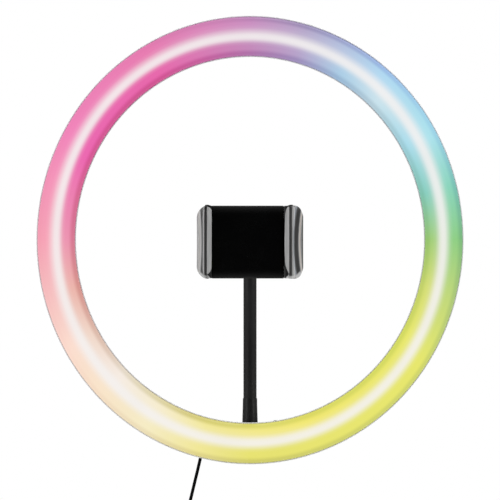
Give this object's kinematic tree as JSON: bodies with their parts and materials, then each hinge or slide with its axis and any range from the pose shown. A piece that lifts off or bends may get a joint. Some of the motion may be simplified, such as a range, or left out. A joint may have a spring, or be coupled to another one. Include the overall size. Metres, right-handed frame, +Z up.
{
  "type": "ring light",
  "caption": "Round colour-changing light ring on a tilting tripod foot, with a gooseneck phone clamp in its centre and a corded button remote.",
  "frame": {"origin": "on the foot's flat seating face, on solid material 7.5 mm behind the vertical axis of the tripod socket", "axes": "+Z up, -Y the way the light shines and the phone screen side faces, +X towards the tilt knob"},
  "size_m": [0.26, 0.1889, 0.3064],
  "materials": {
    "opal_diffuser": "satin opal diffuser, lit in a colour wheel",
    "white_abs": "fine matte white moulding",
    "black_abs": "satin black moulding",
    "matte_black_rubber": "matte soft-touch sleeve",
    "smoky_silicone": "glossy smoky clear gel",
    "cable_pvc": "semi-matte black",
    "zinc_steel": "zinc plated",
    "brass": "turned",
    "natural_nylon": "natural nylon",
    "circuit_board": "white solder mask",
    "remote_board": "green solder mask",
    "grey_keys": "matte silicone keys"
  },
  "bodies": {
    "root": {"foot": "black_abs", "tripod_insert": "brass", "friction_washer_left": "natural_nylon", "friction_washer_right": "natural_nylon", "cable_lower": "cable_pvc", "cable_tail": "cable_pvc", "remote_top": "black_abs", "remote_bottom": "black_abs", "remote_board": "remote_board", "remote_screw_1": "zinc_steel", "remote_screw_2": "zinc_steel", "plug_mould": "cable_pvc", "plug_shell": "zinc_steel", "plug_tongue": "natural_nylon"},
    "head": {"rear_housing": "white_abs", "diffuser": "opal_diffuser", "led_board": "circuit_board", "housing_screw_1": "zinc_steel", "housing_screw_2": "zinc_steel", "housing_screw_3": "zinc_steel", "housing_screw_4": "zinc_steel", "housing_screw_5": "zinc_steel", "housing_screw_6": "zinc_steel", "cable_grommet": "cable_pvc", "cable_upper": "cable_pvc", "rear_bracket": "black_abs", "bracket_screw_1": "zinc_steel", "bracket_screw_2": "zinc_steel", "tilt_bolt": "zinc_steel", "knob_washer": "zinc_steel", "neck_insert": "brass", "neck_base": "matte_black_rubber"},
    "tilt_knob": {"tilt_knob": "black_abs", "knob_nut": "brass"},
    "neck_1": {"neck_link_1": "matte_black_rubber"},
    "neck_2": {"neck_link_2": "matte_black_rubber"},
    "neck_3": {"neck_link_3": "matte_black_rubber"},
    "neck_4": {"neck_link_4": "matte_black_rubber"},
    "neck_5": {"neck_link_5": "matte_black_rubber"},
    "neck_6": {"neck_link_6": "matte_black_rubber", "neck_end": "black_abs"},
    "ball": {"ball_stud": "zinc_steel"},
    "liner": {"ball_liner": "natural_nylon"},
    "clamp": {"clamp_body": "black_abs", "clamp_back_cover": "black_abs", "cover_screw_1": "zinc_steel", "cover_screw_2": "zinc_steel", "cover_screw_3": "zinc_steel", "cover_screw_4": "zinc_steel", "fixed_jaw_pad": "smoky_silicone", "clamp_spring_1": "zinc_steel", "clamp_spring_2": "zinc_steel"},
    "collar": {"lock_collar": "black_abs"},
    "jaw": {"moving_jaw": "black_abs", "moving_jaw_pad": "smoky_silicone"},
    "power_key": {"button_power": "grey_keys"},
    "colour_key": {"button_colour": "grey_keys"},
    "dim_key": {"button_dim": "grey_keys"},
    "bright_key": {"button_bright": "grey_keys"}
  },
  "joints": [
    {"name": "ring_tilt", "type": "hinge", "parent": "root", "child": "head", "pos_m": [0, -0.0075, 0.0145], "axis": [1, 0, 0], "range_deg": [-40, 15], "stiffness_Nm_per_rad": 0.4, "springref_deg": -9},
    {"name": "tilt_knob_turn", "type": "hinge", "parent": "head", "child": "tilt_knob", "pos_m": [0.018, -0.0075, 0.0145], "axis": [1, 0, 0], "continuous": true},
    {"name": "neck_bend_1", "type": "hinge", "parent": "head", "child": "neck_1", "pos_m": [0, -0.0217, 0.0362], "axis": [1, 0, 0], "range_deg": [-12, 12], "stiffness_Nm_per_rad": 0.15, "springref_deg": -3.87},
    {"name": "neck_sway_1", "type": "hinge", "parent": "neck_1", "child": "neck_2", "pos_m": [0, -0.01869, 0.05307], "axis": [0, 0.9517, -0.3072], "range_deg": [-8, 8], "stiffness_Nm_per_rad": 0.15},
    {"name": "neck_bend_2", "type": "hinge", "parent": "neck_2", "child": "neck_3", "pos_m": [0, -0.01229, 0.06904], "axis": [1, 0, 0], "range_deg": [-12, 12], "stiffness_Nm_per_rad": 0.15, "springref_deg": -5.53},
    {"name": "neck_sway_2", "type": "hinge", "parent": "neck_3", "child": "neck_4", "pos_m": [0, -0.00536, 0.08478], "axis": [0, 0.9278, -0.3732], "range_deg": [-8, 8], "stiffness_Nm_per_rad": 0.15},
    {"name": "neck_bend_3", "type": "hinge", "parent": "neck_4", "child": "neck_5", "pos_m": [0, -0.00038, 0.10123], "axis": [1, 0, 0], "range_deg": [-12, 12], "stiffness_Nm_per_rad": 0.15, "springref_deg": -7.58},
    {"name": "neck_sway_3", "type": "hinge", "parent": "neck_5", "child": "neck_6", "pos_m": [0, -0.00228, 0.11791], "axis": [0, 0.8475, 0.5308], "range_deg": [-8, 8], "stiffness_Nm_per_rad": 0.15},
    {"name": "stem_turn", "type": "hinge", "parent": "neck_6", "child": "ball", "pos_m": [0, -0.0355, 0.1259], "axis": [0, 1, 0], "range_deg": [-90, 90]},
    {"name": "ball_tilt", "type": "hinge", "parent": "ball", "child": "liner", "pos_m": [0, -0.0355, 0.1259], "axis": [1, 0, 0], "range_deg": [-30, 30], "stiffness_Nm_per_rad": 0.08, "springref_deg": -3.67},
    {"name": "clamp_roll", "type": "hinge", "parent": "liner", "child": "clamp", "pos_m": [0, -0.0355, 0.1259], "axis": [0, 1, 0], "continuous": true},
    {"name": "lock_collar_turn", "type": "hinge", "parent": "clamp", "child": "collar", "pos_m": [0, -0.0355, 0.1259], "axis": [0, 1, 0], "continuous": true},
    {"name": "jaw_slide", "type": "slide", "parent": "clamp", "child": "jaw", "axis": [1, 0, 0], "range_m": [0, 0.03], "stiffness_N_per_m": 110, "springref_m": -0.02, "deforming": ["clamp_spring_1", "clamp_spring_2"]},
    {"name": "power_press", "type": "slide", "parent": "root", "child": "power_key", "axis": [0, 0, -1], "range_m": [0, 0.0006], "stiffness_N_per_m": 100, "springref_m": -0.0005},
    {"name": "colour_press", "type": "slide", "parent": "root", "child": "colour_key", "axis": [0, 0, -1], "range_m": [0, 0.0006], "stiffness_N_per_m": 100, "springref_m": -0.0005},
    {"name": "dim_press", "type": "slide", "parent": "root", "child": "dim_key", "axis": [0, 0, -1], "range_m": [0, 0.0006], "stiffness_N_per_m": 100, "springref_m": -0.0005},
    {"name": "bright_press", "type": "slide", "parent": "root", "child": "bright_key", "axis": [0, 0, -1], "range_m": [0, 0.0006], "stiffness_N_per_m": 100, "springref_m": -0.0005}
  ],
  "couplings": [
    {"joint": "neck_bend_2", "follows": "neck_bend_1", "ratio": 1},
    {"joint": "neck_sway_2", "follows": "neck_sway_1", "ratio": 1},
    {"joint": "neck_bend_3", "follows": "neck_bend_1", "ratio": 1},
    {"joint": "neck_sway_3", "follows": "neck_sway_1", "ratio": 1}
  ]
}
